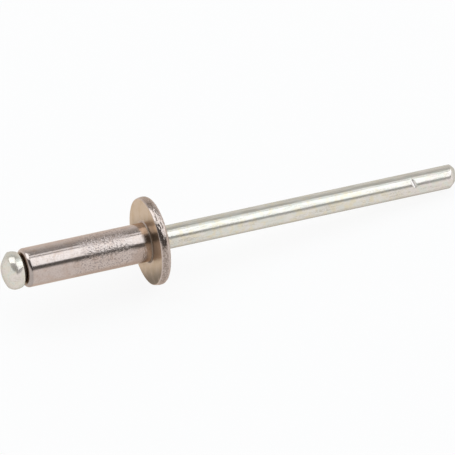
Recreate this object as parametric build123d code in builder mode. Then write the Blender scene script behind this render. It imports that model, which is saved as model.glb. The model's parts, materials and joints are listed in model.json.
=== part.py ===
from build123d import *
from math import asin, atan2, cos, degrees, hypot, pi, sin, sqrt, tan
import os

# Blind rivet before setting: a hollow body with a domed flange, and the mandrel that goes through it.
# Lengths are in millimetres, and places along the rivet's axis are counted from the flange's seat.

# Body
shank_diameter = 3.2
shank_length = 10.61
shank_end_share = 0.65
flange_diameter = 7.25
rim_height = 0.79
rim_draw = 0.09
rim_widest_share = 0.85
crown_height = 1.18
seat_edge_radius = 0.06
shoulder_radius = 0.35
root_radius = 0.1
crown_mouth_radius = 0.12

# Mandrel stem and tail
stem_diameter = 1.93
bore_clearance = 0.035
tail_length = 27.03
tail_bevel = 0.42
tail_edge_radius = 0.25
tail_shear_angle = 14

# Mandrel head
head_diameter = 3.09
head_rim_diameter = 2.88
head_rim_gap = 0.3
head_rim_radius = 0.05
bulge_length = 0.5
shoulder_diameter = 2.7
shoulder_length = 0.53
head_shoulder_radius = 0.3
nose_length = 0.37
seat_lip = 0.08

# Flat that the heading punch left on one side of the nose
facet_depth = 0.22
facet_angle = 34
facet_turn = -62
facet_edge_radius = 0.1

# Break neck, pinched into the stem where it will snap
neck_depth_in_shank = 1.5
pinch_count = 4
pinch_depth = 0.24
pinch_width = 0.6

# Nick left on the stem by a feeding finger
nick_place = 23.09
nick_depth = 0.09
nick_radius = 0.22
nick_turn = 38
nick_slant = 15

# How far every cutter runs past what it cuts
overrun = 0.3

shank_radius = shank_diameter / 2
flange_radius = flange_diameter / 2
stem_radius = stem_diameter / 2
bore_radius = stem_radius + bore_clearance

# The crown is a spherical cap on the rim
cap_height = crown_height - rim_height
crown_radius = (flange_radius**2 + cap_height**2) / (2 * cap_height)
crown_center = crown_height - crown_radius
crown_mouth = crown_center + sqrt(crown_radius**2 - bore_radius**2)

# Its shoulder is a rounded ring, and the rim swells from its seat edge to just before it
shoulder_ring_radius = flange_radius - shoulder_radius
shoulder_ring_place = crown_center + sqrt((crown_radius - shoulder_radius) ** 2 - shoulder_ring_radius**2)
rim_widest = rim_widest_share * shoulder_ring_place

# The mandrel's head, counted from the shank's end towards the nose
head_rim_place = -shank_length - head_rim_gap
bulge_place = head_rim_place - bulge_length
shoulder_place = bulge_place - shoulder_length
nose_place = shoulder_place - nose_length

# The nose is a spherical cap on the shoulder
nose_radius = ((shoulder_diameter / 2) ** 2 + nose_length**2) / (2 * nose_length)
nose_center = nose_place + nose_radius

# Its conical underside beds on a cone of the same slope in the bore's mouth
seat_radius = bore_radius + seat_lip
seat_slope = (head_rim_diameter / 2 - seat_radius) / head_rim_gap
bore_start = -shank_length + seat_lip / seat_slope
stem_start = -shank_length + (seat_radius - stem_radius) / seat_slope

# The shank's end rounds over a share of the wall left round that cone
shank_end_radius = shank_end_share * (shank_radius - seat_radius)

# At rest the rivet lies on two rounded rings, the flange's shoulder and the edge of the tail's bevel
tail_ring_radius = stem_radius - tail_edge_radius
tail_ring_place = tail_length - tail_bevel - tail_edge_radius * tan(pi / 8)
ring_run = tail_ring_place - shoulder_ring_place
ring_drop = shoulder_ring_radius - tail_ring_radius
rest_tilt = atan2(ring_drop, ring_run) + asin((shoulder_radius - tail_edge_radius) / hypot(ring_drop, ring_run))

# The axis leans down to the tail, with the middle of its length over the origin
axis_direction = (cos(rest_tilt), 0, -sin(rest_tilt))
seat_x = -(nose_place + tail_length) / 2 * cos(rest_tilt)
seat_z = tail_ring_place * sin(rest_tilt) + tail_ring_radius * cos(rest_tilt) + tail_edge_radius
rivet_plane = Plane(origin=(seat_x, 0, seat_z), x_dir=axis_direction, z_dir=(0, -1, 0))
rivet_axis = Axis(rivet_plane.origin, axis_direction)


def corner(place, radius):
    """The corner of the open sketch nearest to a place along the axis and a radius."""
    return vertices().sort_by_distance((place, radius))[0]


# Hollow body, one half of its section turned about the axis
with BuildPart() as rivet_body:
    with BuildSketch(rivet_plane):
        with BuildLine():
            Polyline(
                (crown_mouth, bore_radius),
                (bore_start, bore_radius),
                (-shank_length, seat_radius),
                (-shank_length, shank_radius),
                (0, shank_radius),
                (0, flange_radius - rim_draw),
            )
            TangentArc((rim_widest, flange_radius), (0, flange_radius - rim_draw), tangent=(-1, 0))
            Line((rim_widest, flange_radius), (rim_height, flange_radius))
            RadiusArc((rim_height, flange_radius), (crown_mouth, bore_radius), crown_radius)
        make_face()
        fillet(corner(-shank_length, shank_radius), shank_end_radius)
        fillet(corner(0, shank_radius), root_radius)
        fillet(corner(0, flange_radius - rim_draw), seat_edge_radius)
        fillet(corner(rim_height, flange_radius), shoulder_radius)
        fillet(corner(crown_mouth, bore_radius), crown_mouth_radius)
    revolve(axis=rivet_axis)

# Mandrel, turned in one piece from nose to tail, then flattened, sheared, bevelled, pinched and nicked
with BuildPart() as mandrel:
    bulge = (bulge_place, head_diameter / 2)
    head_rim = (head_rim_place, head_rim_diameter / 2)
    head_shoulder = (shoulder_place, shoulder_diameter / 2)
    with BuildSketch(rivet_plane):
        with BuildLine():
            TangentArc(bulge, head_rim, tangent=(1, 0))
            Polyline(
                head_rim,
                (stem_start, stem_radius),
                (tail_length + stem_diameter, stem_radius),
                (tail_length + stem_diameter, 0),
                (nose_place, 0),
            )
            RadiusArc((nose_place, 0), head_shoulder, nose_radius)
            TangentArc(bulge, head_shoulder, tangent=(-1, 0))
        make_face()
        fillet(corner(*head_rim), head_rim_radius)
        fillet(corner(*head_shoulder), head_shoulder_radius)
    revolve(axis=rivet_axis)

    facet_direction = rivet_plane * Pos(X=nose_center) * Rot(X=facet_turn) * Rot(Z=-facet_angle)
    facet_plane = Plane(facet_direction * Pos(X=facet_depth - nose_radius) * Rot(Y=-90))
    split(bisect_by=facet_plane, keep=Keep.BOTTOM)
    fillet(faces().sort_by_distance(facet_plane.origin)[0].edges(), facet_edge_radius)

    tail_plane = Plane(rivet_plane * Pos(X=tail_length) * Rot(Y=90 - tail_shear_angle))
    split(bisect_by=tail_plane, keep=Keep.BOTTOM)
    chamfer(faces().sort_by(rivet_axis)[-1].edges(), tail_bevel)
    fillet(faces().sort_by(rivet_axis)[-2].edges(), tail_edge_radius)

    neck_plane = rivet_plane * Pos(X=neck_depth_in_shank - shank_length)
    pinch_slope = pinch_width / 2 / pinch_depth
    for pinch in range(pinch_count):
        with BuildSketch(neck_plane * Rot(X=360 / pinch_count * pinch)):
            with BuildLine():
                Polyline(
                    (0, stem_radius - pinch_depth),
                    ((pinch_depth + overrun) * pinch_slope, stem_radius + overrun),
                    (-(pinch_depth + overrun) * pinch_slope, stem_radius + overrun),
                    close=True,
                )
            make_face()
        extrude(amount=stem_radius, both=True, mode=Mode.SUBTRACT)

    with BuildSketch(rivet_plane * Pos(X=nick_place) * Rot(X=nick_turn) * Rot(Y=nick_slant)):
        with Locations((0, stem_radius + nick_radius - nick_depth)):
            Circle(nick_radius)
    extrude(amount=stem_radius, both=True, mode=Mode.SUBTRACT)

rivet_body.part.label = "rivet_body"
mandrel.part.label = "mandrel"
print("rest tilt", round(degrees(rest_tilt), 3), "degrees")

os.makedirs("parts", exist_ok=True)
export_step(rivet_body.part, "parts/rivet_body.step")
export_step(mandrel.part, "parts/mandrel.step")
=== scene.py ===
import json
from math import asin, atan2, cos, hypot, pi, radians, sin, sqrt, tan

import bmesh
import bpy
from mathutils import Matrix, Vector, noise


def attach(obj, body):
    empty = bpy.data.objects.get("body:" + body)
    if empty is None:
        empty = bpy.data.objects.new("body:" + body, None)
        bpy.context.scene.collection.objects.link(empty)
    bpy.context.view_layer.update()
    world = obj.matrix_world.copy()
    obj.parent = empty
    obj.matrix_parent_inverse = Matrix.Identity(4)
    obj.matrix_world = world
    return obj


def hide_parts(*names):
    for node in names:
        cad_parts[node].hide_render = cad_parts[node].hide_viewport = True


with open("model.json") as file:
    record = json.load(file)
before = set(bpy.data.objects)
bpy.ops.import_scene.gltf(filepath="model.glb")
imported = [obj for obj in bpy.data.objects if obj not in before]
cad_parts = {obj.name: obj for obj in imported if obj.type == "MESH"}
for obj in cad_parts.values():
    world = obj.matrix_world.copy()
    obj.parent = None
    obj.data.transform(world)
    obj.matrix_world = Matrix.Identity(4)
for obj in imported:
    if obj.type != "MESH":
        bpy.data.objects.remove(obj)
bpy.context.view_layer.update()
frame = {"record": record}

# sizes are in millimetres and turned into metres when a piece is put in its place
millimetre = 0.001
mergeDistance = 1e-5
quarterTurn = pi / 2
upperBackShares = (0.74, 0.67)  # how much a point's y and z count towards the rivet's upper back

# the rivet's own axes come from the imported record: x runs from the flange's seat to the tail
mounts = {mount["name"]: mount for mount in frame["record"]["mounts"]}
seat = Vector(mounts["flange_seat"]["pos_m"])
toHead = Vector(mounts["flange_seat"]["axis"])
restTilt = atan2(toHead.z, -toHead.x)  # how far the axis leans down to the tail
rivetPlace = Matrix.Translation(seat) @ Matrix.Rotation(restTilt, 4, "Y") @ Matrix.Scale(millimetre, 4)
shankRadius = mounts["shank"]["dims"]["r_mm"]
stemRadius = mounts["stem_grip"]["dims"]["r_mm"]


def startSection(bm, place, radius):
    return bm.verts.new((place, 0, radius))


def drawOn(bm, corner, **path):
    # draws the section on from its last corner, along a line or an arc, and returns the new last corner
    drawn = bmesh.ops.spin(bm, geom=[corner], axis=(0, 1, 0), **path)
    return [piece for piece in drawn["geom_last"] if isinstance(piece, bmesh.types.BMVert)][0]


def lineTo(bm, corner, place, radius, spacing=None):
    run = Vector((place, 0, radius)) - corner.co
    steps = int(run.length / spacing) + 1 if spacing else 1
    return drawOn(bm, corner, angle=0, dvec=run / steps, steps=steps)


def arcTo(bm, corner, centrePlace, centreRadius, angle, steps):
    # clockwise where the angle is positive, with the axis below and the tail to the right
    return drawOn(bm, corner, cent=(centrePlace, 0, centreRadius), angle=angle, steps=steps)


def roundOff(bm, geom, offset, segments, affect):
    bmesh.ops.bevel(
        bm, geom=geom, offset=offset, segments=segments, profile=0.5, affect=affect, material=-1
    )


def turnSection(bm, steps, doublings=3):
    # spins part of a turn about the rivet's axis, then doubles it to a full turn
    bmesh.ops.remove_doubles(bm, verts=bm.verts[:], dist=mergeDistance)
    turn = 2 * pi / 2**doublings
    section = bm.verts[:] + bm.edges[:]
    bmesh.ops.spin(
        bm, geom=section, cent=(0, 0, 0), axis=(1, 0, 0), angle=turn, steps=steps // 2**doublings
    )
    for doubling in range(doublings):
        copied = bmesh.ops.duplicate(bm, geom=bm.verts[:] + bm.edges[:] + bm.faces[:])["geom"]
        verts = [piece for piece in copied if isinstance(piece, bmesh.types.BMVert)]
        bmesh.ops.rotate(bm, verts=verts, cent=(0, 0, 0), matrix=Matrix.Rotation(turn, 3, "X"))
        turn *= 2
    bmesh.ops.remove_doubles(bm, verts=bm.verts[:], dist=mergeDistance)
    bmesh.ops.recalc_face_normals(bm, faces=bm.faces[:])


def finishPiece(bm, name, node, material):
    # puts the modelled piece in the rivet's place, with its place in its mesh
    bmesh.ops.transform(bm, matrix=rivetPlace, verts=bm.verts[:])
    for face in bm.faces:
        face.smooth = True
    mesh = bpy.data.meshes.new(name)
    bm.to_mesh(mesh)
    bm.free()
    piece = bpy.data.objects.new(name, mesh)
    bpy.context.scene.collection.objects.link(piece)
    mesh.materials.append(material)
    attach(piece, "root")
    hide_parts(node)
    print(name, "has", len(mesh.polygons), "faces")


def addNode(tree, kind, values=None, **settings):
    node = tree.nodes.new(kind)
    for key, value in settings.items():
        setattr(node, key, value)
    for key, value in (values or {}).items():
        if isinstance(value, bpy.types.NodeSocket):
            tree.links.new(value, node.inputs[key])
        else:
            node.inputs[key].default_value = value
    return node


def calculate(tree, operation, *values):
    return addNode(tree, "ShaderNodeMath", dict(enumerate(values)), operation=operation).outputs[0]


def product(tree, *values):
    result = values[0]
    for value in values[1:]:
        result = calculate(tree, "MULTIPLY", result, value)
    return result


def larger(tree, first, second):
    return calculate(tree, "MAXIMUM", first, second)


def addShare(tree, base, value, share):
    return calculate(tree, "MULTIPLY_ADD", value, share, base)


def rampBetween(tree, value, low, high):
    # 0 at the low value and 1 at the high one, smooth between them, and falling where low is the larger
    node = addNode(
        tree, "ShaderNodeMapRange", {"Value": value, "From Min": low, "From Max": high},
        interpolation_type="SMOOTHSTEP",
    )
    return node.outputs["Result"]


def within(tree, value, low, high, blur):
    # 1 between two values, fading out past both
    return product(
        tree, rampBetween(tree, value, low - blur, low), rampBetween(tree, value, high + blur, high)
    )


def mixColours(tree, factor, first, second):
    node = tree.nodes.new("ShaderNodeMix")
    node.data_type = "RGBA"
    for key, value in (("Factor_Float", factor), ("A_Color", first), ("B_Color", second)):
        socket = [s for s in node.inputs if s.identifier == key][0]
        if isinstance(value, bpy.types.NodeSocket):
            tree.links.new(value, socket)
        else:
            socket.default_value = value
    return [s for s in node.outputs if s.identifier == "Result_Color"][0]


def startMaterial(name):
    material = bpy.data.materials.new(name)
    material.use_nodes = True
    tree = material.node_tree
    tree.nodes.clear()
    output = tree.nodes.new("ShaderNodeOutputMaterial")
    return material, tree, output


def rivetCoordinates(tree):
    # places in millimetres along and across the rivet's own axis
    source = addNode(tree, "ShaderNodeTexCoord")
    mapping = addNode(
        tree, "ShaderNodeMapping",
        {
            "Vector": source.outputs["Object"], "Location": seat,
            "Rotation": (0, restTilt, 0), "Scale": (millimetre,) * 3,
        },
        vector_type="TEXTURE",
    )
    return mapping.outputs["Vector"]


def rivetParts(tree, place):
    # how far along the axis a point is, how far from it, and how far towards its upper back
    along, back, up = addNode(tree, "ShaderNodeSeparateXYZ", {0: place}).outputs
    squares = calculate(tree, "ADD", product(tree, back, back), product(tree, up, up))
    radius = calculate(tree, "SQRT", squares)
    backShare, upShare = upperBackShares
    upperBack = addShare(tree, product(tree, up, upShare), back, backShare)
    return along, radius, upperBack


# surface marks that both metals share: patches, tints, streaks along the axis and fine grain
marksPattern = {
    "drawnOut": (0.08, 1, 1),
    "tintShift": (31, 7, 19),  # so that the tints don't follow the patches
    "patchDetail": 4.0,
    "detail": 3.0,
    "roughness": 0.6,
    "tintRoughness": 0.55,
}


def makeFormingMarks():
    pattern = marksPattern
    tree = bpy.data.node_groups.new("formingMarks", "ShaderNodeTree")
    tree.interface.new_socket("Place", in_out="INPUT", socket_type="NodeSocketVector")
    for name in ("Cloud Scale", "Streak Scale", "Grain Scale"):
        tree.interface.new_socket(name, in_out="INPUT", socket_type="NodeSocketFloat")
    for name in ("Cloud", "Tint", "Streak", "Grain"):
        tree.interface.new_socket(name, in_out="OUTPUT", socket_type="NodeSocketFloat")
    inputs = tree.nodes.new("NodeGroupInput").outputs
    outputs = tree.nodes.new("NodeGroupOutput").inputs
    place = inputs["Place"]
    drawn = addNode(tree, "ShaderNodeMapping", {"Vector": place, "Scale": pattern["drawnOut"]})
    moved = addNode(tree, "ShaderNodeMapping", {"Vector": place, "Location": pattern["tintShift"]})
    for name, vector, scale, detail, roughness in (
        ("Cloud", place, "Cloud Scale", pattern["patchDetail"], pattern["roughness"]),
        ("Tint", moved.outputs["Vector"], "Cloud Scale", pattern["detail"], pattern["tintRoughness"]),
        ("Streak", drawn.outputs["Vector"], "Streak Scale", pattern["detail"], pattern["roughness"]),
        ("Grain", place, "Grain Scale", pattern["detail"], pattern["roughness"]),
    ):
        texture = addNode(
            tree, "ShaderNodeTexNoise",
            {"Vector": vector, "Scale": inputs[scale], "Detail": detail, "Roughness": roughness},
        )
        tree.links.new(texture.outputs["Fac"], outputs[name])
    return tree


formingMarks = makeFormingMarks()


def addFormingMarks(tree, place, look):
    node = tree.nodes.new("ShaderNodeGroup")
    node.node_tree = formingMarks
    tree.links.new(place, node.inputs["Place"])
    node.inputs["Cloud Scale"].default_value = look["cloudScale"]
    node.inputs["Streak Scale"].default_value = look["streakScale"]
    node.inputs["Grain Scale"].default_value = look["grainScale"]
    return node.outputs


# warm bright alloy of the body; a pair of limits goes from where its zone starts to where it is full,
# and three are a zone's two ends and how softly it fades past them
warmAlloy = {
    "clean": (0.55, 0.463, 0.42, 1),
    "brown": (0.51, 0.405, 0.35, 1),
    # painted shade on the rim and in its dents
    "recess": (0.26, 0.205, 0.17, 1),
    # painted shade in the corner at the shank's root
    "rootBrown": (0.16, 0.12, 0.085, 1),
    # painted shade on the seat
    "seatBrown": (0.085, 0.074, 0.06, 1),
    # painted shade on the rounded end's lower side
    "endBrown": (0.33, 0.295, 0.28, 1),
    # painted shade on the shank's lower side
    "lowBrown": (0.41, 0.31, 0.255, 1),
    "pitted": (0.27, 0.22, 0.20, 1),
    "tan": (0.63, 0.505, 0.38, 1),
    "ochre": (0.57, 0.435, 0.29, 1),
    # painted shade in the gap under the mandrel's head
    "gapShade": (0.24, 0.175, 0.125, 1),
    "edgeTint": (0.88, 0.78, 0.70, 1),
    "brownPatches": (0.42, 0.72),
    "ochreTints": (0.4, 0.68),
    "roughness": 0.12,
    "roughPatches": 0.08,  # what the patches, pits, root and seat add to it
    "roughPits": 0.04,
    "roughRoot": 0.3,
    "roughSeat": 0.15,
    "cloudScale": 1.3,
    "streakScale": 5.0,
    "grainScale": 11.0,
    "grainDepth": 1.5e-6,
    "pitScale": 7.0,
    "pitDetail": 2.0,
    "pitRoughness": 0.55,
    "pitDepth": 2.2e-5,
    "pitsElsewhere": 0.06,  # how deep the pits are past the pitted stretch, and on the rim
    "pitsOnRim": 0.4,
    "speckPits": (0.52, 0.34),
    "speckShare": 0.2,
    "speckInPits": 0.45,
    "shankOut": (1.8, 1.65),
    "shankSide": (0.1, 0.02),
    "pitsAlong": (-5.2, -2.4, 1.2),
    "lowPitsAlong": (-6.4, -0.6, 0.5),
    "lowPitsSide": (-0.2, -0.6),
    "lowPitsShare": 0.8,
    # painted shade on the rounded end's lower side, on the lower side near the foot and along the underside
    "endAlong": (-10.2, -10.3),
    "endSide": (0.6, -0.2),
    "endShare": 0.6,
    "lowRootAlong": (-1.5, -0.9, 0.6),
    "lowRootSide": (-0.4, -0.9),
    "lowRootShare": 0.65,
    "undersideFrom": (-1.22, -1.48),
    "undersideShare": 0.2,
    "undersideInPits": 0.5,
    "gapAlong": (-10.45, -10.57),
    "gapOut": (1.42, 1.28),
    # painted shade in the corner at the shank's root, weaker on top
    "rootAlong": (-0.08, 0.02, 0.06),
    "rootOut": (1.78, 1.7),
    "rootTop": (0.9, 1.4),
    "rootTopShare": -0.6,
    "rootShare": 0.8,
    "seatInner": (1.66, 1.9),
    "seatOuter": (3.53, 3.47),
    "seatSide": (0.09, 0.01),
    "seatShare": 0.9,
    # painted shade on the seat round the shank's root and towards its foot, in patches
    "rootShadeOut": (3.9, 2.2),
    "rootShadeTop": (2.4, 1.0),
    "rootShadeLow": (-2.2, -0.9),
    "rootShadeShare": 0.57,
    "footShade": (-1.6, -3.2),
    "footShadeShare": 0.86,
    "shadePatches": (0.08, 0.5),
    # painted shade on the rim, lighter in the band where its highlight falls, varied by tints and pits
    "rimOut": (3.3, 3.5),
    "rimAlong": (0.15, 0.5, 0.12),
    "rimBright": (0.7, 2.1, 0.6),
    "rimBrightShare": -0.46,
    "rimTints": (0.4, 0.6),
    "rimTintShare": 0.12,
    "rimDarkPits": (0.5, 0.36),
    "rimPalePits": (0.5, 0.64),
    "rimPitShare": 0.35,
    "rimShare": 0.56,
    "dentShare": 0.45,
}


def makeWarmAlloy():
    look = warmAlloy
    material, tree, output = startMaterial("warmAlloy")
    place = rivetCoordinates(tree)
    along, radius, upperBack = rivetParts(tree, place)
    marks = addFormingMarks(tree, place, look)
    pits = addNode(
        tree, "ShaderNodeTexNoise",
        {
            "Vector": place, "Scale": look["pitScale"], "Detail": look["pitDetail"],
            "Roughness": look["pitRoughness"],
        },
    ).outputs["Fac"]

    # the shank's zones: its pits, which reach further below, and painted shade on its rounded end's lower side,
    # on its lower side near the foot and along its underside
    onShank = product(
        tree, rampBetween(tree, radius, *look["shankOut"]), rampBetween(tree, along, *look["shankSide"])
    )
    lowPits = product(
        tree, within(tree, along, *look["lowPitsAlong"]), rampBetween(tree, upperBack, *look["lowPitsSide"]),
        look["lowPitsShare"],
    )
    pitZone = product(tree, onShank, larger(tree, within(tree, along, *look["pitsAlong"]), lowPits))
    # painted shade on the lower side of the rounded end, near the foot and along the underside, stronger along
    # the pits
    shankEnd = product(
        tree, onShank, rampBetween(tree, along, *look["endAlong"]),
        rampBetween(tree, upperBack, *look["endSide"]), look["endShare"],
    )
    shankRoot = product(
        tree, onShank, within(tree, along, *look["lowRootAlong"]),
        rampBetween(tree, upperBack, *look["lowRootSide"]), look["lowRootShare"],
    )
    underside = product(
        tree, onShank, rampBetween(tree, upperBack, *look["undersideFrom"]),
        addShare(tree, look["undersideShare"], pitZone, look["undersideInPits"]),
    )
    # painted shade on the shank's end face, in the gap under the mandrel's head
    gap = product(tree, rampBetween(tree, along, *look["gapAlong"]), rampBetween(tree, radius, *look["gapOut"]))

    # the flange's zones: the ring at the shank's root, the seat and the rim, each with painted shade
    # painted shade in the corner at the shank's root, weaker on top
    rootRing = product(
        tree, within(tree, along, *look["rootAlong"]), rampBetween(tree, radius, *look["rootOut"]),
        addShare(tree, 1.0, rampBetween(tree, upperBack, *look["rootTop"]), look["rootTopShare"]),
    )
    seatFace = product(
        tree, rampBetween(tree, radius, *look["seatInner"]), rampBetween(tree, radius, *look["seatOuter"]),
        rampBetween(tree, along, *look["seatSide"]),
    )
    # painted shade on the seat: round the shank's root except at its top and bottom, and towards the seat's
    # foot, in patches
    nearRoot = product(
        tree, rampBetween(tree, radius, *look["rootShadeOut"]), rampBetween(tree, upperBack, *look["rootShadeTop"]),
        rampBetween(tree, upperBack, *look["rootShadeLow"]), look["rootShadeShare"],
    )
    atFoot = product(tree, rampBetween(tree, upperBack, *look["footShade"]), look["footShadeShare"])
    seatShade = product(
        tree, seatFace, larger(tree, nearRoot, atFoot), rampBetween(tree, marks["Cloud"], *look["shadePatches"])
    )
    # painted shade on the rim and in its dents, lighter in the band where its highlight falls, varied by tints
    # and pits
    rim = product(tree, rampBetween(tree, radius, *look["rimOut"]), within(tree, along, *look["rimAlong"]))
    rimBright = within(tree, upperBack, *look["rimBright"])
    rimShare = addShare(tree, look["rimShare"], rimBright, look["rimBrightShare"])
    for value, limits, share in (
        (marks["Tint"], look["rimTints"], look["rimTintShare"]),
        (pits, look["rimDarkPits"], look["rimPitShare"]),
        (pits, look["rimPalePits"], -look["rimPitShare"]),
    ):
        rimShare = addShare(tree, rimShare, rampBetween(tree, value, *limits), share)
    rimShare = calculate(tree, "MINIMUM", larger(tree, rimShare, 0.0), 1.0)
    dent = addNode(tree, "ShaderNodeAttribute", attribute_name="dent").outputs["Fac"]
    recess = larger(tree, product(tree, dent, look["dentShare"]), product(tree, rim, rimShare))

    # each colour laid over the ones before it
    speckle = product(
        tree, rampBetween(tree, pits, *look["speckPits"]),
        addShare(tree, look["speckShare"], pitZone, look["speckInPits"]),
    )
    seatColour = mixColours(
        tree, rampBetween(tree, marks["Tint"], *look["ochreTints"]), look["tan"], look["ochre"]
    )
    colour = look["clean"]
    for share, over in (
        (rampBetween(tree, marks["Cloud"], *look["brownPatches"]), look["brown"]),
        (speckle, look["pitted"]),
        (product(tree, seatFace, look["seatShare"]), seatColour),
        (seatShade, look["seatBrown"]),
        (shankRoot, look["lowBrown"]),
        (underside, look["lowBrown"]),
        (product(tree, rootRing, look["rootShare"]), look["rootBrown"]),
        (shankEnd, look["endBrown"]),
        (recess, look["recess"]),
        (gap, look["gapShade"]),
    ):
        colour = mixColours(tree, share, colour, over)

    roughness = look["roughness"]
    for value, share in (
        (marks["Cloud"], look["roughPatches"]), (pitZone, look["roughPits"]),
        (rootRing, look["roughRoot"]), (seatFace, look["roughSeat"]),
    ):
        roughness = addShare(tree, roughness, value, share)
    pitShare = larger(tree, pitZone, product(tree, rim, look["pitsOnRim"]))
    pitHeight = product(tree, pits, calculate(tree, "ADD", pitShare, look["pitsElsewhere"]))
    grain = addNode(tree, "ShaderNodeBump", {"Height": marks["Grain"], "Distance": look["grainDepth"]})
    bump = addNode(
        tree, "ShaderNodeBump",
        {"Height": pitHeight, "Distance": look["pitDepth"], "Normal": grain.outputs["Normal"]},
    )
    shader = addNode(
        tree, "ShaderNodeBsdfPrincipled",
        {
            "Base Color": colour, "Metallic": 1.0, "Roughness": roughness, "Specular Tint": look["edgeTint"],
            "Normal": bump.outputs["Normal"],
        },
    )
    tree.links.new(shader.outputs["BSDF"], output.inputs["Surface"])
    return material


# zinc plating of the mandrel, with limits written as the body's are
zincPlate = {
    "clean": (0.79, 0.74, 0.675, 1),
    "drawn": (0.57, 0.52, 0.45, 1),
    # painted shade colour, also used for the duller cut end
    "shadeAndDull": (0.49, 0.455, 0.39, 1),
    "fresh": (0.84, 0.775, 0.735, 1),
    "green": (0.74, 0.725, 0.655, 1),
    "straw": (0.785, 0.705, 0.55, 1),
    "rose": (0.785, 0.705, 0.665, 1),
    # painted shade in the gap under the head
    "gapShade": (0.24, 0.175, 0.125, 1),
    "edgeTint": (0.56, 0.53, 0.46, 1),
    "strawPatches": (0.44, 0.6),
    "greenTints": (0.48, 0.62),
    "roseTints": (0.6, 0.4),
    "headStraw": 0.7,
    "headGreen": 0.15,
    "headRose": 0.8,
    "metallic": 0.6,  # the passivated zinc also scatters light
    "roughness": 0.15,
    "roughPatches": 0.08,
    "cloudScale": 1.7,
    "streakScale": 6.0,
    "grainScale": 10.0,
    "streakDepth": 2.0e-6,
    "grainDepth": 1.5e-6,
    "tailAlong": (19.0, 25.0),
    "headAlong": (-10.8, -11.2),
    "gapAlong": (-10.88, -10.35, 0.05),
    "stemAlong": (-10.0, 0.0),
    # painted shade along the stem's upper back, streaked, and along its underside
    "shadedBack": (0.66, 0.84, 0.2),
    "shadedBackShare": 0.4,
    "shadedBackStreaks": (0.4, 0.6),
    "shadedBackStreakShare": 0.45,
    "undersideFrom": (-0.74, -0.9),
    "undersideShare": 0.45,
    "cutEndAlong": (26.55, 26.75),
    "cutEndShare": 0.6,
    # painted shade on top of the head
    "headTop": (0.6, 1.2),
    "headTopShare": 0.5,
    "nickAlong": (22.95, 23.25, 0.12),
    "nickOut": (0.955, 0.93),
    "drawnStreaks": (0.47, 0.63),
    "drawnGrain": (0.42, 0.58),
    "drawnShare": 0.8,
}


def makeZincPlate():
    look = zincPlate
    material, tree, output = startMaterial("zincPlate")
    place = rivetCoordinates(tree)
    along, radius, upperBack = rivetParts(tree, place)
    marks = addFormingMarks(tree, place, look)

    # yellower and greener in patches, rosier towards the tail and on the head
    head = rampBetween(tree, along, *look["headAlong"])
    greenShare = larger(
        tree, rampBetween(tree, marks["Tint"], *look["greenTints"]), product(tree, head, look["headGreen"])
    )
    roseShare = larger(
        tree, rampBetween(tree, along, *look["tailAlong"]), product(tree, head, look["headRose"])
    )
    roseShare = product(tree, roseShare, rampBetween(tree, marks["Tint"], *look["roseTints"]))

    # painted shade along the stem's upper back and underside and on top of the head, and a duller cut end
    shadeAndDull = rampBetween(tree, marks["Streak"], *look["shadedBackStreaks"])
    shadeAndDull = addShare(tree, look["shadedBackShare"], shadeAndDull, look["shadedBackStreakShare"])
    shadeAndDull = product(tree, shadeAndDull, within(tree, upperBack, *look["shadedBack"]))
    underside = product(tree, rampBetween(tree, upperBack, *look["undersideFrom"]), look["undersideShare"])
    cutEnd = product(tree, rampBetween(tree, along, *look["cutEndAlong"]), look["cutEndShare"])
    headTop = product(tree, head, rampBetween(tree, upperBack, *look["headTop"]), look["headTopShare"])
    shadeAndDull = product(tree, larger(tree, shadeAndDull, underside), rampBetween(tree, along, *look["stemAlong"]))
    shadeAndDull = larger(tree, larger(tree, shadeAndDull, cutEnd), headTop)

    # bright in the nick, with drawing marks along the stem and painted shade under the head
    nick = product(
        tree, within(tree, along, *look["nickAlong"]), rampBetween(tree, radius, *look["nickOut"])
    )
    drawn = product(
        tree, rampBetween(tree, marks["Streak"], *look["drawnStreaks"]),
        rampBetween(tree, marks["Grain"], *look["drawnGrain"]), look["drawnShare"],
    )
    gap = within(tree, along, *look["gapAlong"])

    # each colour laid over the ones before it
    colour = look["clean"]
    for share, over in (
        (rampBetween(tree, marks["Cloud"], *look["strawPatches"]), look["straw"]),
        (product(tree, head, look["headStraw"]), look["straw"]),
        (greenShare, look["green"]),
        (roseShare, look["rose"]),
        (shadeAndDull, look["shadeAndDull"]),
        (nick, look["fresh"]),
        (drawn, look["drawn"]),
        (gap, look["gapShade"]),
    ):
        colour = mixColours(tree, share, colour, over)

    roughness = addShare(tree, look["roughness"], marks["Cloud"], look["roughPatches"])
    grain = addNode(tree, "ShaderNodeBump", {"Height": marks["Grain"], "Distance": look["grainDepth"]})
    bump = addNode(
        tree, "ShaderNodeBump",
        {"Height": marks["Streak"], "Distance": look["streakDepth"], "Normal": grain.outputs["Normal"]},
    )
    shader = addNode(
        tree, "ShaderNodeBsdfPrincipled",
        {
            "Base Color": colour, "Metallic": look["metallic"], "Roughness": roughness,
            "Specular Tint": look["edgeTint"], "Normal": bump.outputs["Normal"],
        },
    )
    tree.links.new(shader.outputs["BSDF"], output.inputs["Surface"])
    return material


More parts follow.
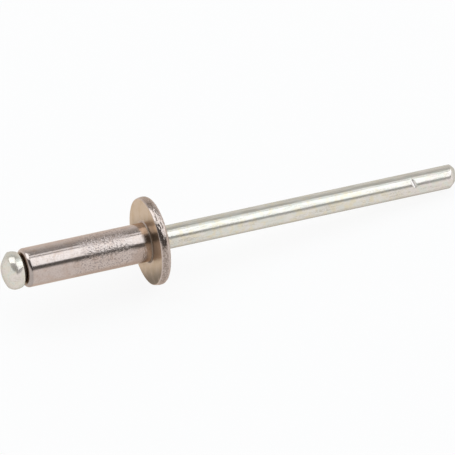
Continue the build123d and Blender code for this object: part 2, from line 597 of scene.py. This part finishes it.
# hollow body with its flange
rivetBody = {
    "shankLength": 10.61,
    "boreRadius": 1.0,
    "seatLip": 0.08,  # how far the bore's mouth opens for the mandrel's head
    "seatSlope": 1.2,
    "endShare": 0.65,  # share of the end's wall that is rounded
    "rootRadius": 0.1,
    "flangeRadius": 3.625,
    "seatEdgeRadius": 0.06,
    "rimHeight": 0.79,
    "rimDraw": 0.09,  # how far the rim draws in from its widest place to the seat
    "rimWidestShare": 0.85,
    "crownHeight": 1.18,
    "shoulderRadius": 0.35,
    "mouthRadius": 0.12,
    "dentDepth": 0.038,
    "dentWidth": 0.13,
    "dentRun": 0.45,
    "dentLevel": 0.22,  # the higher, the more of the rim is dented
    "dentInside": (0.42, 0.12),  # how far in from the rim the dents start, and where they are full
    "dentSide": (0.06, 0.2),
    "fineDents": 0.9,
    "fineDentScale": 2.1,
    "fineDentShift": (9, 4, 7),
    "calmLow": (-1.6, -0.9),  # the stretch towards the front that has the fewest dents
    "calmHigh": (1.0, 0.5),
    "calmShare": 0.75,
    "turnSteps": 512,
    "endSteps": 10,
    "rootSteps": 8,
    "seatEdgeSteps": 5,
    "rimSteps": 10,
    "shoulderSteps": 12,
    "crownSteps": 18,
    "mouthSteps": 6,
    "endSpacing": 0.06,
    "shankSpacing": 0.24,
    "seatSpacing": 0.12,
    "rimSpacing": 0.03,
    "boreSpacing": 0.84,
}


def makeBody():
    size = rivetBody
    bm = bmesh.new()
    bm.verts.layers.float.new("dent")
    seatRadius = size["boreRadius"] + size["seatLip"]
    endRadius = size["endShare"] * (shankRadius - seatRadius)
    endPlace = -size["shankLength"]
    capHeight = size["crownHeight"] - size["rimHeight"]
    crownRadius = (size["flangeRadius"] ** 2 + capHeight**2) / (2 * capHeight)
    crownCentre = size["crownHeight"] - crownRadius

    # the shank, from the bore's mouth to the flange's seat
    corner = start = startSection(bm, endPlace, seatRadius)
    corner = lineTo(bm, corner, endPlace, shankRadius - endRadius, size["endSpacing"])
    corner = arcTo(bm, corner, endPlace + endRadius, shankRadius - endRadius, quarterTurn, size["endSteps"])
    corner = lineTo(bm, corner, -size["rootRadius"], shankRadius, size["shankSpacing"])
    corner = arcTo(
        bm, corner, -size["rootRadius"], shankRadius + size["rootRadius"], -quarterTurn, size["rootSteps"]
    )

    # the flange's seat, its swelling rim, shoulder and crown
    ringRadius = size["flangeRadius"] - size["shoulderRadius"]
    ringReach = crownRadius - size["shoulderRadius"]
    ringPlace = crownCentre + sqrt(ringReach**2 - ringRadius**2)
    ringTurn = asin(ringRadius / ringReach)
    widest = size["rimWidestShare"] * ringPlace
    swellRadius = (widest**2 + size["rimDraw"] ** 2) / (2 * size["rimDraw"])
    swellTurn = asin(widest / swellRadius)
    seatEdge = lineTo(bm, corner, 0, size["flangeRadius"] - size["rimDraw"], size["seatSpacing"])
    corner = arcTo(bm, seatEdge, widest, size["flangeRadius"] - swellRadius, swellTurn, size["rimSteps"])
    corner = lineTo(bm, corner, ringPlace, size["flangeRadius"], size["rimSpacing"])
    rounding = size["seatEdgeRadius"] * tan((quarterTurn - swellTurn) / 2)
    roundOff(bm, [seatEdge], rounding, size["seatEdgeSteps"], "VERTICES")
    corner = arcTo(bm, corner, ringPlace, ringRadius, quarterTurn - ringTurn, size["shoulderSteps"])
    mouthRing = size["boreRadius"] + size["mouthRadius"]
    mouthReach = crownRadius - size["mouthRadius"]
    mouthTurn = asin(mouthRing / mouthReach)
    corner = arcTo(bm, corner, crownCentre, 0, ringTurn - mouthTurn, size["crownSteps"])
    mouthPlace = crownCentre + sqrt(mouthReach**2 - mouthRing**2)
    corner = arcTo(bm, corner, mouthPlace, mouthRing, quarterTurn + mouthTurn, size["mouthSteps"])

    # the bore and the cone that the mandrel's head beds on
    boreStart = size["seatLip"] / size["seatSlope"] - size["shankLength"]
    corner = lineTo(bm, corner, boreStart, size["boreRadius"], size["boreSpacing"])
    lineTo(bm, corner, start.co.x, start.co.z)
    turnSection(bm, size["turnSteps"])
    crackleRim(bm)
    return bm


def fade(value, low, high):
    share = max(0.0, min(1.0, (value - low) / (high - low)))
    return share * share * (3 - 2 * share)


def crackleRim(bm):
    # presses shallow dents into the rim, never outwards, and keeps how deep each one is
    size = rivetBody
    dent = bm.verts.layers.float["dent"]
    backShare, upShare = upperBackShares
    fineShift = Vector(size["fineDentShift"])
    inside = [size["flangeRadius"] - reach for reach in size["dentInside"]]
    bm.normal_update()
    for vert in bm.verts:
        radius = hypot(vert.co.y, vert.co.z)
        share = fade(radius, *inside) * fade(vert.co.x, *size["dentSide"])
        if share > 0:
            across = (vert.co.x + size["flangeRadius"] - radius) / size["dentWidth"]
            around = size["flangeRadius"] / radius / size["dentRun"]
            spot = Vector((across, vert.co.y * around, vert.co.z * around))
            fine = noise.noise(spot * size["fineDentScale"] + fineShift)
            wave = noise.noise(spot) + size["fineDents"] * fine
            upperBack = backShare * vert.co.y + upShare * vert.co.z
            calm = fade(upperBack, *size["calmLow"]) * fade(upperBack, *size["calmHigh"])
            share *= 1 - size["calmShare"] * calm
            vert[dent] = share * min(1.0, max(0.0, size["dentLevel"] + wave))
    for vert in bm.verts:
        vert.co -= vert.normal * (vert[dent] * size["dentDepth"])


# mandrel with its upset head, long stem and sheared tail
mandrel = {
    "headRadius": 1.545,
    "headRimRadius": 1.44,
    "headRimGap": 0.3,
    "headRimRounding": 0.012,
    "bulgeLength": 0.5,
    "shoulderRadius": 1.35,
    "shoulderLength": 0.53,
    "shoulderRounding": 0.05,
    "noseLength": 0.37,
    "facetDepth": 0.22,
    "facetAngle": radians(34),
    "facetTurn": radians(62),
    "neckDepth": 1.5,
    "pinchDepth": 0.24,
    "pinchWidth": 0.6,
    "nickPlace": 23.09,
    "nickDepth": 0.09,
    "nickRadius": 0.22,
    "nickTurn": radians(38),
    "nickSlant": radians(15),
    "nickReach": 0.55,
    "tailLength": 27.03,
    "tailBevel": 0.42,
    "tailEdgeRadius": 0.25,
    "bevelAngle": radians(45),
    "tailShear": radians(14),
    "turnSteps": 240,
    "noseSteps": 14,
    "frontSteps": 8,
    "backSteps": 10,
    "shoulderSteps": 6,
    "headRimSteps": 3,
    "tailEdgeSteps": 5,
    "coneSpacing": 0.1,
    "spacing": 0.2,
    "fineSpacing": 0.03,
}


def makeMandrel():
    size = mandrel
    bm = bmesh.new()
    headRimPlace = -rivetBody["shankLength"] - size["headRimGap"]
    bulgePlace = headRimPlace - size["bulgeLength"]
    shoulderPlace = bulgePlace - size["shoulderLength"]
    nosePlace = shoulderPlace - size["noseLength"]
    seatRadius = rivetBody["boreRadius"] + rivetBody["seatLip"]
    stemStart = (seatRadius - stemRadius) / rivetBody["seatSlope"] - rivetBody["shankLength"]

    # the head: a nose cap, a bulge and a conical underside
    noseRadius = (size["shoulderRadius"] ** 2 + size["noseLength"] ** 2) / (2 * size["noseLength"])
    noseCentre = nosePlace + noseRadius
    noseTurn = asin(size["shoulderRadius"] / noseRadius)
    corner = startSection(bm, nosePlace, 0)
    shoulder = arcTo(bm, corner, noseCentre, 0, noseTurn, size["noseSteps"])
    rise = size["headRadius"] - size["shoulderRadius"]
    frontRadius = (size["shoulderLength"] ** 2 + rise**2) / (2 * rise)
    frontTurn = asin(size["shoulderLength"] / frontRadius)
    corner = arcTo(bm, shoulder, bulgePlace, size["headRadius"] - frontRadius, frontTurn, size["frontSteps"])
    fall = size["headRadius"] - size["headRimRadius"]
    backRadius = (size["bulgeLength"] ** 2 + fall**2) / (2 * fall)
    backTurn = asin(size["bulgeLength"] / backRadius)
    rim = arcTo(bm, corner, bulgePlace, size["headRadius"] - backRadius, backTurn, size["backSteps"])
    corner = lineTo(bm, rim, stemStart, stemRadius, size["coneSpacing"])
    roundOff(bm, [shoulder], size["shoulderRounding"], size["shoulderSteps"], "VERTICES")
    roundOff(bm, [rim], size["headRimRounding"], size["headRimSteps"], "VERTICES")

    # the stem, with more vertices round the break neck and the nick
    neckPlace = size["neckDepth"] - rivetBody["shankLength"]
    neckReach = size["pinchWidth"] / 2
    tailStart = size["tailLength"] - size["tailBevel"] * 2
    for place, spacing in (
        (neckPlace - neckReach, size["spacing"]),
        (neckPlace, size["fineSpacing"]),
        (neckPlace + neckReach, size["fineSpacing"]),
        (size["nickPlace"] - size["nickReach"], size["spacing"]),
        (size["nickPlace"] + size["nickReach"], size["fineSpacing"]),
        (tailStart, size["spacing"]),
        (size["tailLength"] + stemRadius, None),
    ):
        corner = lineTo(bm, corner, place, stemRadius, spacing)
    turnSection(bm, size["turnSteps"])

    # the flat on the nose
    across = sin(size["facetAngle"])
    facetNormal = Vector(
        (-cos(size["facetAngle"]), across * sin(size["facetTurn"]), across * cos(size["facetTurn"]))
    )
    facetPoint = Vector((noseCentre, 0, 0)) + facetNormal * (noseRadius - size["facetDepth"])
    noseFaces = [face for face in bm.faces if face.calc_center_median().x < bulgePlace]
    noseEdges = dict.fromkeys(edge for face in noseFaces for edge in face.edges)
    noseVerts = dict.fromkeys(vert for face in noseFaces for vert in face.verts)
    bmesh.ops.bisect_plane(
        bm, geom=[*noseFaces, *noseEdges, *noseVerts], plane_co=facetPoint, plane_no=facetNormal
    )
    for vert in bm.verts:
        proud = (vert.co - facetPoint).dot(facetNormal)
        if proud > 0 and vert.co.x < bulgePlace:
            vert.co -= facetNormal * proud

    # the break neck: four pinches, each a V in the stem
    for vert in bm.verts:
        away = abs(vert.co.x - neckPlace)
        if away < neckReach:
            limit = stemRadius - size["pinchDepth"] * (1 - away / neckReach)
            vert.co.y = max(-limit, min(limit, vert.co.y))
            vert.co.z = max(-limit, min(limit, vert.co.z))

    # the nick: a slanting groove across the stem
    outward = Vector((0, -sin(size["nickTurn"]), cos(size["nickTurn"])))
    sideways = Vector((0, -cos(size["nickTurn"]), -sin(size["nickTurn"])))
    along = Vector((cos(size["nickSlant"]), 0, 0)) - sideways * sin(size["nickSlant"])
    grooveHeight = stemRadius + size["nickRadius"] - size["nickDepth"]
    for vert in bm.verts:
        apart = (vert.co - Vector((size["nickPlace"], 0, 0))).dot(along)
        height = vert.co.dot(outward)
        if abs(apart) < size["nickRadius"] and height > 0:
            limit = grooveHeight - sqrt(size["nickRadius"] ** 2 - apart**2)
            if height > limit:
                vert.co -= outward * (height - limit)

    # the tail: sheared across, closed and bevelled, with the bevel's edges rounded
    tailNormal = Vector((cos(size["tailShear"]), -sin(size["tailShear"]), 0))
    cut = bmesh.ops.bisect_plane(
        bm, geom=bm.verts[:] + bm.edges[:] + bm.faces[:], plane_co=(size["tailLength"], 0, 0),
        plane_no=tailNormal, clear_outer=True,
    )
    rimEdges = [piece for piece in cut["geom_cut"] if isinstance(piece, bmesh.types.BMEdge)]
    end = bmesh.ops.contextual_create(bm, geom=rimEdges)["faces"][0]
    roundOff(bm, list(end.edges), size["tailBevel"], 1, "EDGES")
    bevelEdges = [
        edge for edge in bm.edges
        if min(vert.co.x for vert in edge.verts) > tailStart
        and edge.calc_face_angle(0) > size["bevelAngle"] / 2
    ]
    rounding = size["tailEdgeRadius"] * tan(size["bevelAngle"] / 2)
    roundOff(bm, bevelEdges, rounding, size["tailEdgeSteps"], "EDGES")

    # a ring of faces round the flat end keeps its shading flat
    end = max((face for face in bm.faces if len(face.verts) > 8), key=lambda face: face.calc_area())
    bmesh.ops.inset_region(bm, faces=[end], thickness=rounding / 2)
    bmesh.ops.recalc_face_normals(bm, faces=bm.faces[:])
    return bm


finishPiece(makeBody(), "rivetBody", "rivet_body", makeWarmAlloy())
finishPiece(makeMandrel(), "mandrelPin", "mandrel", makeZincPlate())


# pale floor, white to the camera and in the metal, with the rivet's soft shadow on it
studioFloor = {"size": 3.0, "colour": (0.86, 0.86, 0.86, 1), "glow": 0.9, "glowInMetal": 0.8}


def makeFloor():
    bm = bmesh.new()
    bmesh.ops.create_grid(bm, x_segments=1, y_segments=1, size=studioFloor["size"])
    mesh = bpy.data.meshes.new("floor")
    bm.to_mesh(mesh)
    bm.free()
    floor = bpy.data.objects.new("floor", mesh)
    bpy.context.scene.collection.objects.link(floor)
    material, tree, output = startMaterial("paleFloor")
    mesh.materials.append(material)
    paint = addNode(tree, "ShaderNodeBsdfDiffuse", {"Color": studioFloor["colour"]})
    glow = addNode(tree, "ShaderNodeEmission", {"Color": (1, 1, 1, 1), "Strength": 1.0})
    path = addNode(tree, "ShaderNodeLightPath").outputs
    mirrored = larger(tree, path["Is Glossy Ray"], path["Is Transmission Ray"])
    mirrored = product(tree, mirrored, studioFloor["glowInMetal"])
    seen = product(tree, path["Is Camera Ray"], studioFloor["glow"])
    share = larger(tree, seen, mirrored)
    mix = addNode(tree, "ShaderNodeMixShader", {0: share, 1: paint.outputs[0], 2: glow.outputs[0]})
    tree.links.new(mix.outputs[0], output.inputs["Surface"])


makeFloor()
print("floor laid")


# a room with a pale band round the horizon, dim above it in front and fading slowly behind
studioRoom = {
    "frontBand": (0.28, 0.44),
    "backBand": (0.15, 0.90),
    "sideLift": 0.24,  # how much higher the band reaches beyond the head
    "sideFrom": (-0.05, -0.3),
    "frontToBack": (-0.3, 0.3),
    "frontDim": (0.13, 0.13, 0.13, 1),
    "backDim": (0.29, 0.29, 0.29, 1),
    "backWhite": (0.88, 0.88, 0.88, 1),
    "white": (1, 1, 1, 1),
}


def makeRoom():
    room = studioRoom
    world = bpy.data.worlds.new("studioRoom")
    bpy.context.scene.world = world
    world.use_nodes = True
    tree = world.node_tree
    tree.nodes.clear()
    output = tree.nodes.new("ShaderNodeOutputWorld")
    direction = addNode(tree, "ShaderNodeTexCoord").outputs["Generated"]
    side, depth, height = addNode(tree, "ShaderNodeSeparateXYZ", {0: direction}).outputs
    lift = product(tree, rampBetween(tree, side, *room["sideFrom"]), room["sideLift"])
    frontHeight = calculate(tree, "SUBTRACT", height, lift)
    frontRise = rampBetween(tree, frontHeight, *room["frontBand"])
    backRise = rampBetween(tree, height, *room["backBand"])
    front = mixColours(tree, frontRise, room["white"], room["frontDim"])
    back = mixColours(tree, backRise, room["backWhite"], room["backDim"])
    colour = mixColours(tree, rampBetween(tree, depth, *room["frontToBack"]), front, back)
    path = addNode(tree, "ShaderNodeLightPath").outputs
    colour = mixColours(tree, path["Is Camera Ray"], colour, room["white"])
    background = addNode(tree, "ShaderNodeBackground", {"Color": colour, "Strength": 1.0})
    tree.links.new(background.outputs[0], output.inputs["Surface"])


makeRoom()
print("room painted")


# softboxes over the rivet: a wide one in front of it, a narrow one behind and one beyond its head
softboxes = {
    "keyBox": {
        "turn": radians(14), "left": 0.17, "right": 2.5, "front": -1.09, "back": 0.03, "brightness": 1.74,
    },
    "rearStrip": {
        "turn": radians(14), "left": 0.3, "right": 2.5, "front": 0.15, "back": 0.32, "brightness": 1.3,
    },
    "sideBox": {
        "turn": radians(-24), "left": -1.2, "right": 0.08, "front": -0.05, "back": 0.9, "brightness": 1.9,
    },
}
softboxHeight = 1.0
softboxColour = (0.865, 0.94, 1.0)


def makeSoftbox(name):
    # hangs level, turned about the upright through the origin
    size = softboxes[name]
    lamp = bpy.data.lights.new(name, "AREA")
    lamp.shape = "RECTANGLE"
    lamp.size = size["right"] - size["left"]
    lamp.size_y = size["back"] - size["front"]
    lamp.color = softboxColour
    lamp.energy = size["brightness"] * pi * lamp.size * lamp.size_y
    lampObject = bpy.data.objects.new(name, lamp)
    middle = Vector(((size["left"] + size["right"]) / 2, (size["front"] + size["back"]) / 2, softboxHeight))
    turn = Matrix.Rotation(size["turn"], 4, "Z")
    lampObject.matrix_world = turn @ Matrix.Translation(middle)
    bpy.context.scene.collection.objects.link(lampObject)


for name in softboxes:
    makeSoftbox(name)
print("lit by", len(softboxes), "softboxes")


# camera at the photograph's angle, a long lens from some way off
photoCamera = {
    "azimuth": radians(-21.534),
    "elevation": radians(47.422),
    "distance": 0.65,
    "lens": 636.1,
    "sensor": 36.0,
    "nearest": 0.01,
    "farthest": 20.0,
    "left": 0.241,  # millimetres that the view's middle lies left of the origin, and above it
    "up": 1.651,
}


def makeCamera():
    view = photoCamera
    right = Vector((cos(view["azimuth"]), sin(view["azimuth"]), 0))
    level = cos(view["elevation"])
    forward = Vector((-sin(view["azimuth"]) * level, cos(view["azimuth"]) * level, -sin(view["elevation"])))
    up = right.cross(forward)
    aim = (up * view["up"] - right * view["left"]) * millimetre
    data = bpy.data.cameras.new("photoCamera")
    data.lens = view["lens"]
    data.sensor_width = view["sensor"]
    data.clip_start = view["nearest"]
    data.clip_end = view["farthest"]
    data.dof.use_dof = False
    camera = bpy.data.objects.new("photoCamera", data)
    turn = Matrix((right, up, -forward)).transposed().to_4x4()
    camera.matrix_world = Matrix.Translation(aim - forward * view["distance"]) @ turn
    bpy.context.scene.collection.objects.link(camera)
    bpy.context.scene.camera = camera


makeCamera()
bpy.context.scene.view_settings.view_transform = "Standard"
print("camera set")
